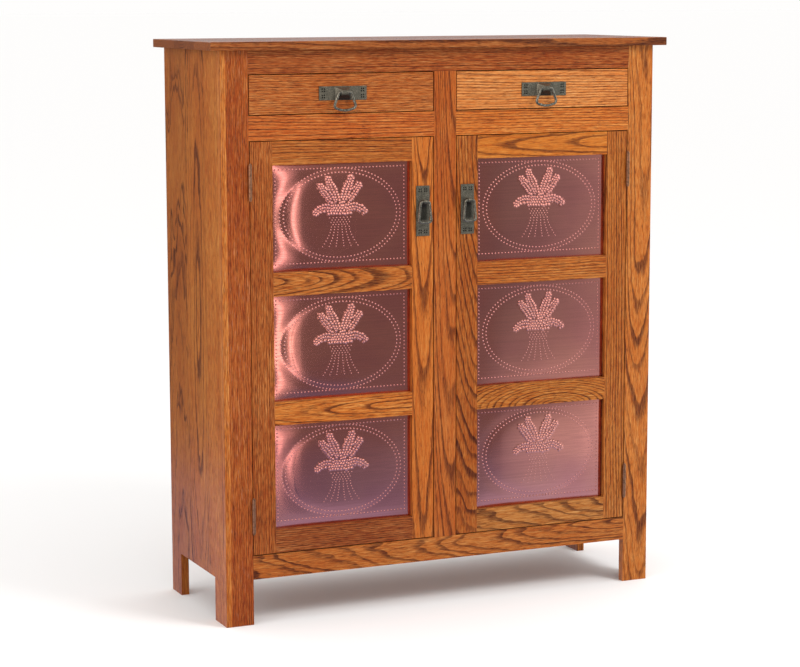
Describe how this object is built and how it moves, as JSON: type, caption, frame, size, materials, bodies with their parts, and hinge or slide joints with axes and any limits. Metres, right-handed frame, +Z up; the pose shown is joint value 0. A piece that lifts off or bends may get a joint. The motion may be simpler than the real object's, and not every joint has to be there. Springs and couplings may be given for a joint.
{
  "type": "pie safe cupboard",
  "caption": "Free-standing oak pie safe with drawers over framed doors that hold punched copper panels, on square feet, with dark metal bail pulls.",
  "frame": {"origin": "on the floor, at the middle of the width and depth of the top board", "axes": "+X to the right of a viewer who faces the doors, +Y from the doors to the back, +Z up"},
  "size_m": [1.15, 0.406, 1.327],
  "materials": {
    "oak": "stained oak with open grain under a satin varnish",
    "drawer_wood": "plain sanded hardwood, clear coated",
    "plywood": "oak-faced plywood, stained, thin satin coat",
    "copper": "brushed antique copper sheet with punched dots, lacquered",
    "pull_metal": "hammered dark pewter-green patina, satin",
    "hinge_metal": "antique bronze plated, dull",
    "steel": "zinc plated, dull",
    "catch_plastic": "brown moulded plastic, matt"
  },
  "bodies": {
    "case": {"back_panel": "plywood", "bottom_rail": "oak", "case_bottom": "oak", "center_stile": "oak", "drawer_deck": "drawer_wood", "drawer_guides": "drawer_wood", "drawer_kickers": "drawer_wood", "frame_hinge_leaves": "hinge_metal", "frame_hinge_screws": "steel", "hinge_pins": "hinge_metal", "left_drawer_rail": "oak", "left_front_stile": "oak", "left_side_panel": "oak", "magnetic_catches": "catch_plastic", "rear_top_rail": "oak", "right_drawer_rail": "oak", "right_front_stile": "oak", "right_side_panel": "oak", "shelf_pins": "steel", "shelves": "oak", "top_board": "oak", "top_rail": "oak"},
    "left_door": {"left_door_bottom_rail": "oak", "left_door_hinge_leaves": "hinge_metal", "left_door_hinge_screws": "steel", "left_door_hinge_stile": "oak", "left_door_latch_stile": "oak", "left_door_lower_panel": "copper", "left_door_mid_rails": "oak", "left_door_middle_panel": "copper", "left_door_panel_stops": "oak", "left_door_pull_plate": "pull_metal", "left_door_strike_plate": "steel", "left_door_top_rail": "oak", "left_door_upper_panel": "copper"},
    "right_door": {"right_door_bottom_rail": "oak", "right_door_hinge_leaves": "hinge_metal", "right_door_hinge_screws": "steel", "right_door_hinge_stile": "oak", "right_door_latch_stile": "oak", "right_door_lower_panel": "copper", "right_door_mid_rails": "oak", "right_door_middle_panel": "copper", "right_door_panel_stops": "oak", "right_door_pull_plate": "pull_metal", "right_door_strike_plate": "steel", "right_door_top_rail": "oak", "right_door_upper_panel": "copper"},
    "left_drawer": {"left_drawer_bottom": "plywood", "left_drawer_box": "drawer_wood", "left_drawer_front": "oak", "left_drawer_pull_plate": "pull_metal"},
    "right_drawer": {"right_drawer_bottom": "plywood", "right_drawer_box": "drawer_wood", "right_drawer_front": "oak", "right_drawer_pull_plate": "pull_metal"},
    "left_door_bail": {"left_door_bail": "pull_metal"},
    "right_door_bail": {"right_door_bail": "pull_metal"},
    "left_drawer_bail": {"left_drawer_bail": "pull_metal"},
    "right_drawer_bail": {"right_drawer_bail": "pull_metal"}
  },
  "joints": [
    {"name": "left_door_hinge", "type": "hinge", "parent": "case", "child": "left_door", "pos_m": [-0.481, -0.1885, 0.6345], "axis": [0, 0, -1], "range_deg": [0, 170]},
    {"name": "left_drawer_slide", "type": "slide", "parent": "case", "child": "left_drawer", "axis": [0, -1, 0], "range_m": [0, 0.28]},
    {"name": "left_door_bail_pivot", "type": "hinge", "parent": "left_door", "child": "left_door_bail", "pos_m": [-0.057, -0.1982, 0.9565], "axis": [-1, 0, 0], "range_deg": [-8, 90]},
    {"name": "left_drawer_bail_pivot", "type": "hinge", "parent": "left_drawer", "child": "left_drawer_bail", "pos_m": [-0.255, -0.1982, 1.2115], "axis": [-1, 0, 0], "range_deg": [-8, 90]},
    {"name": "right_door_hinge", "type": "hinge", "parent": "case", "child": "right_door", "pos_m": [0.481, -0.1885, 0.6345], "axis": [0, 0, 1], "range_deg": [0, 170]},
    {"name": "right_drawer_slide", "type": "slide", "parent": "case", "child": "right_drawer", "axis": [0, -1, 0], "range_m": [0, 0.28]},
    {"name": "right_door_bail_pivot", "type": "hinge", "parent": "right_door", "child": "right_door_bail", "pos_m": [0.057, -0.1982, 0.9565], "axis": [-1, 0, 0], "range_deg": [-8, 90]},
    {"name": "right_drawer_bail_pivot", "type": "hinge", "parent": "right_drawer", "child": "right_drawer_bail", "pos_m": [0.255, -0.1982, 1.2115], "axis": [-1, 0, 0], "range_deg": [-8, 90]}
  ]
}
